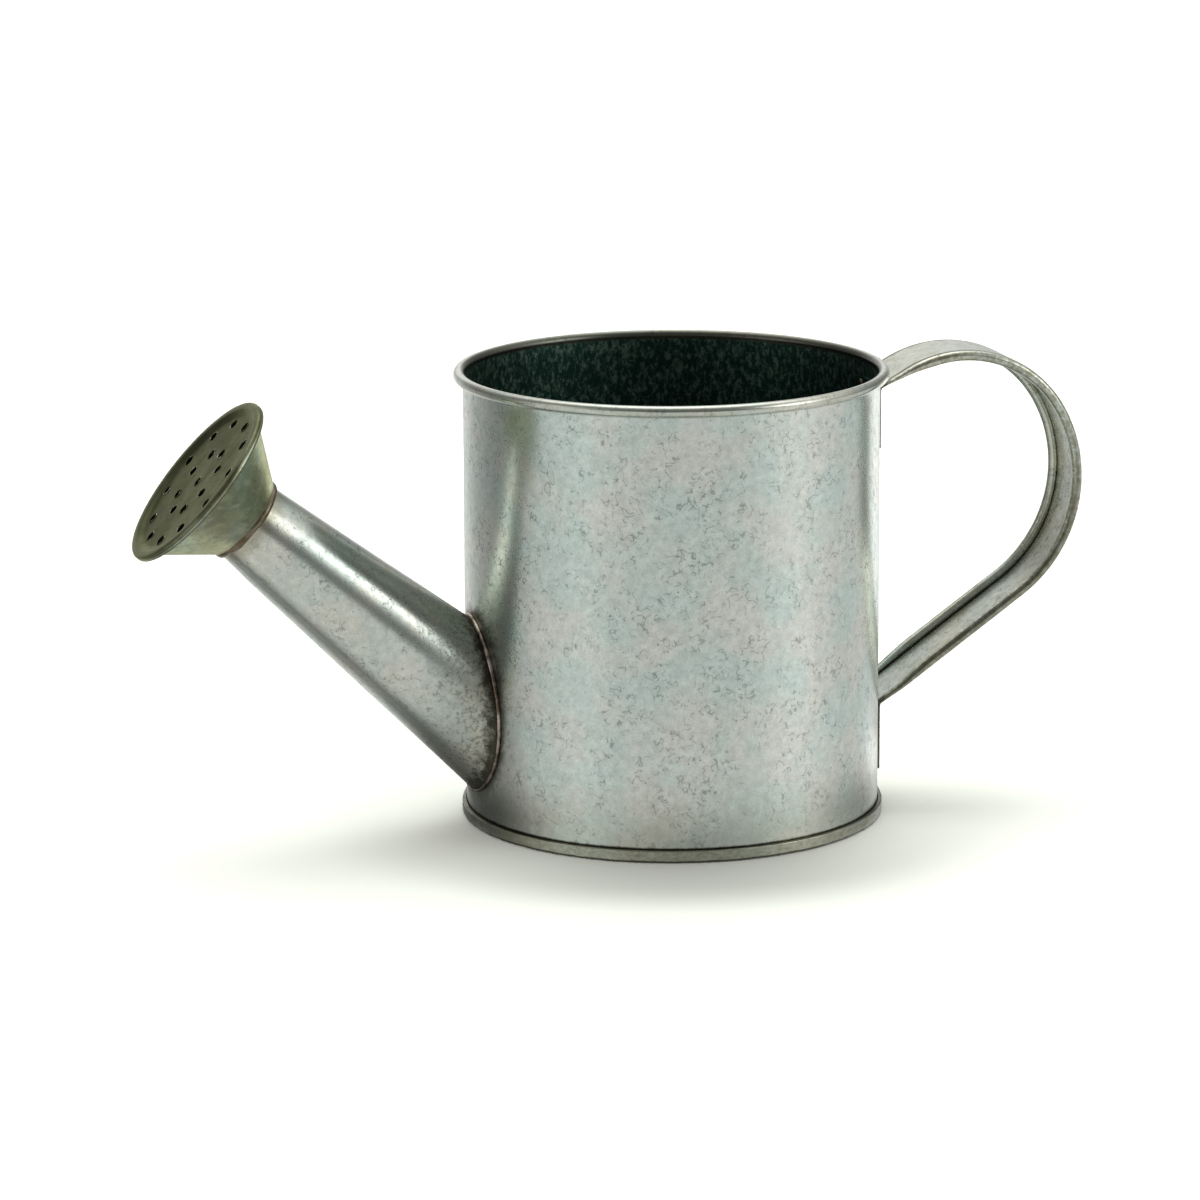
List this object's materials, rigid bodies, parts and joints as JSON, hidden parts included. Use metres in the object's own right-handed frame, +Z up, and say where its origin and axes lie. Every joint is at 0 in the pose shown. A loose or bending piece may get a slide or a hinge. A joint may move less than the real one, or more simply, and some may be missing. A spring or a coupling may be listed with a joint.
{
  "type": "watering can",
  "caption": "Small open-topped galvanised watering can: straight round body with a curled rim, slanted tapered spout with a perforated rose, and a strap handle with rolled edges.",
  "frame": {"origin": "on the body's axis, in the plane that the can stands on", "axes": "+Z up along the body's axis, -X towards the spout, +X towards the handle, so XZ is the plane of symmetry"},
  "size_m": [0.2366, 0.106, 0.1122],
  "materials": {
    "galvanised_body": "hot-dip galvanised sheet, fine spangle, satin",
    "galvanised_handle": "hot-dip galvanised strap, satin, slightly dulled",
    "galvanised_rose": "galvanised sheet dulled to olive grey by heat and handling",
    "solder": "tarnished soft solder, brownish, uneven"
  },
  "bodies": {
    "root": {"body_shell": "galvanised_body", "base_pan": "galvanised_body", "base_solder": "solder", "spout_tube": "galvanised_body", "spout_solder": "solder", "rose_cone": "galvanised_rose", "rose_face": "galvanised_rose", "neck_solder": "solder", "handle_strap": "galvanised_handle", "upper_weld_left": "galvanised_handle", "upper_weld_right": "galvanised_handle", "lower_weld_left": "galvanised_handle", "lower_weld_right": "galvanised_handle"}
  },
  "joints": []
}
